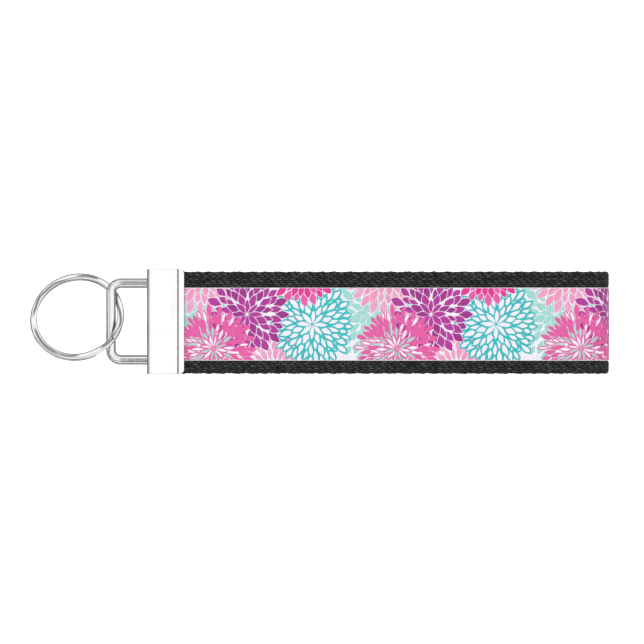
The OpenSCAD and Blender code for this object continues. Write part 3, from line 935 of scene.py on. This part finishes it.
# In metres. The floor lies well below the part, as under a glass shelf: no shadow shows, and the
# strap can open.
FLOOR_Z, FLOOR_HALF, FLOOR_GREY, FLOOR_GLOW = -0.06, 4, 0.9, 0.35
MIRRORED_HALF, MIRRORED_GREY = 0.7, 0.25
DOME_R = 0.7
HORIZON, HORIZON_LIGHT, OVERHEAD_LIGHT = (0.2 * DOME_R, 0.34 * DOME_R), 0.1, 1.2
# The dome's grey cards: the angles from overhead between which each fades in and fades out, in
# radians, and how much of the light it leaves
FRONT_CARD = (0.4, 0.46), (0.85, 0.95), 0.45
LEFT_CARD = (0.62, 0.68), (0.8, 0.86), 0.5
REAR_CARD = (0.32, 0.38), (0.5, 0.56), 0.45
LEFT_CARD_ENDS = (0.3, 0.4)  # where the left card fades out to its sides
# The camera, in millimetres: the point that it looks at, the width of its view, and its distance
LOOK_X, LOOK_Y, FACE_Z, FRAME_W, AWAY = 0.76, -0.15, 11.0, 196.3, 2000.0
SENSOR_W = 36


def stage_sheet(name, points, faces, colour, glow=0.0):
    """A part of the studio: a dull sheet, which may also glow a little."""
    sheet = new_piece(name, points, faces, smooth=[False] * len(faces))
    material, g, shader = new_material(name)
    shader.inputs["Base Color"].default_value = (*colour, 1)
    shader.inputs["Roughness"].default_value = 0.9
    shader.inputs["Specular IOR Level"].default_value = 0.0
    shader.inputs["Emission Color"].default_value = (1, 1, 1, 1)
    shader.inputs["Emission Strength"].default_value = glow
    sheet.data.materials.append(material)
    return sheet, g, shader


def square(half, z):
    """Corners of a level square, in metres."""
    return [(-half, -half, z), (half, -half, z), (half, half, z), (-half, half, z)]


def only_in_reflections(sheet):
    """Hides a sheet from everything but the reflections in the metal."""
    sheet.visible_camera = sheet.visible_diffuse = sheet.visible_shadow = False
    sheet.visible_transmission = sheet.visible_volume_scatter = False


def reflection_dome():
    """What the polished metal mirrors: white overhead, grey cards, and a darker horizon."""
    rings, sides = 24, 64
    tilt = np.linspace(0.02, math.pi / 2, rings)[:, None]
    turn = np.linspace(0, 2 * math.pi, sides, endpoint=False)[None]
    points = np.stack(
        [np.sin(tilt) * np.cos(turn), np.sin(tilt) * np.sin(turn), np.cos(tilt) + 0 * turn], -1
    ).reshape(-1, 3) * DOME_R
    faces = tube_faces(rings, sides)[:-1]
    sheet, g, shader = stage_sheet("mirrored_dome", points, faces, (0, 0, 0), 1.0)
    x, y, z = g.split(g.node("TexCoord", 3))

    def with_card(light, sideways, card, width=None):
        """The light with a card in it, at an angle from overhead towards sideways."""
        (fade_in, full), (fade_out, gone), dim = card
        angle = g.math("ARCTAN2", sideways, z)
        shade = g.math(
            "MULTIPLY", g.ramp(angle, fade_in, full), g.ramp(angle, fade_out, gone, 1, 0)
        )
        if width is not None:
            shade = g.math("MULTIPLY", shade, width)
        return g.math("MULTIPLY", light, g.ramp(shade, 0, 1, 1, dim))

    light = g.ramp(z, *HORIZON, HORIZON_LIGHT, OVERHEAD_LIGHT)
    light = with_card(light, g.math("MULTIPLY", y, -1), FRONT_CARD)
    left_width = g.ramp(g.math("ABSOLUTE", y), *LEFT_CARD_ENDS, 1, 0)
    light = with_card(light, g.math("MULTIPLY", x, -1), LEFT_CARD, left_width)
    light = with_card(light, y, REAR_CARD)
    g.put(shader.inputs["Emission Strength"], light)
    only_in_reflections(sheet)


ONE_FACE = [(0, 1, 2, 3)]
stage_sheet("floor", square(FLOOR_HALF, FLOOR_Z), ONE_FACE, (FLOOR_GREY,) * 3, FLOOR_GLOW)
mirrored, _, _ = stage_sheet(
    "floor_card", square(MIRRORED_HALF, FLOOR_Z + MM), ONE_FACE, (MIRRORED_GREY,) * 3
)
only_in_reflections(mirrored)
reflection_dome()

world = bpy.data.worlds.new("studio")
bpy.context.scene.world = world
world.use_nodes = True
world.cycles_visibility.glossy = False
sky = Graph(world.node_tree)
up = sky.split(sky.node("TexCoord", 0))[2]
SKY_LOW, SKY_HIGH = (0.7, 0.7, 0.7, 1), (1.15, 1.15, 1.15, 1)
sky_colour = sky.mix(sky.ramp(up, 0.1, 0.6), SKY_LOW, SKY_HIGH)
sky.put(world.node_tree.nodes["Background"].inputs["Color"], sky_colour)


def soft_light(name, place_at, size, power):
    """A round soft light that shines on the part and doesn't show in the metal."""
    data = bpy.data.lights.new(name, "AREA")
    data.shape, data.size, data.energy = "DISK", size, power
    lamp = bpy.data.objects.new(name, data)
    bpy.context.scene.collection.objects.link(lamp)
    lamp.location = place_at
    lamp.rotation_euler = (-lamp.location).to_track_quat("-Z", "Y").to_euler()
    lamp.visible_glossy = False


soft_light("key", (-0.5, 0.6, 1.5), 1.0, 9)

data = bpy.data.cameras.new("camera")
data.sensor_width = SENSOR_W
data.lens = SENSOR_W * AWAY / FRAME_W
data.clip_end = 20
camera = bpy.data.objects.new("camera", data)
camera.location = (LOOK_X * MM, LOOK_Y * MM, (FACE_Z + AWAY) * MM)
bpy.context.scene.collection.objects.link(camera)
bpy.context.scene.camera = camera
bpy.context.scene.view_settings.view_transform = "Standard"
